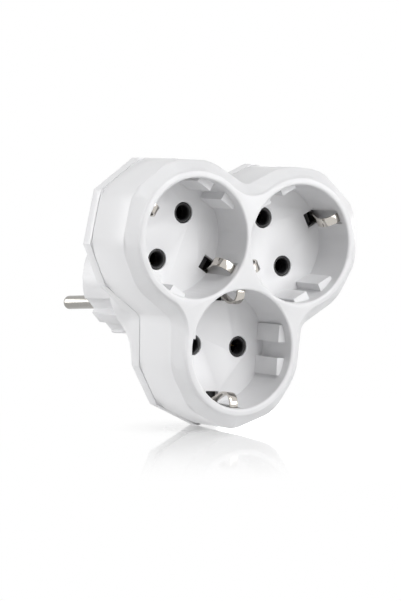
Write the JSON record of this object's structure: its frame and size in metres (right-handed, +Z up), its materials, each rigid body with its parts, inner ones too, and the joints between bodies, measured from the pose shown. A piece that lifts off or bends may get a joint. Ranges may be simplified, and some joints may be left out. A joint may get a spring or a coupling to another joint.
{
  "type": "three-way plug-in socket adapter",
  "caption": "Lobed white adapter with a faceted bevel, recessed earthed socket wells facing forward and one plug set at an angle behind.",
  "frame": {"origin": "on the three-fold axis of the socket wells, in the plane of their rims", "axes": "+Y into the adapter, away from the user; +Z up; +X to the right as seen from the front"},
  "size_m": [0.0974, 0.0787, 0.092],
  "materials": {
    "white_housing": "smooth glossy white moulding",
    "black_insert": "matt black heat-resistant moulding",
    "contact_brass": "plain rolled brass",
    "nickel_strip": "bright nickel plating on spring strip",
    "nickel_pin": "turned pin with satin nickel plating",
    "screw_steel": "zinc-plated steel"
  },
  "bodies": {
    "root": {"front_housing": "white_housing", "rear_housing": "white_housing", "line_busbar": "contact_brass", "neutral_busbar": "contact_brass", "plug_pin_line": "nickel_pin", "plug_pin_neutral": "nickel_pin", "earth_busbar": "nickel_strip", "plug_earth_strip": "nickel_strip", "pin_retainer": "black_insert", "socket_insert_left": "black_insert", "line_contact_left": "contact_brass", "neutral_contact_left": "contact_brass", "earth_bracket_left": "nickel_strip", "housing_screw_left": "screw_steel", "socket_insert_right": "black_insert", "line_contact_right": "contact_brass", "neutral_contact_right": "contact_brass", "earth_bracket_right": "nickel_strip", "housing_screw_right": "screw_steel", "socket_insert_bottom": "black_insert", "line_contact_bottom": "contact_brass", "neutral_contact_bottom": "contact_brass", "earth_bracket_bottom": "nickel_strip", "housing_screw_bottom": "screw_steel"}
  },
  "joints": []
}
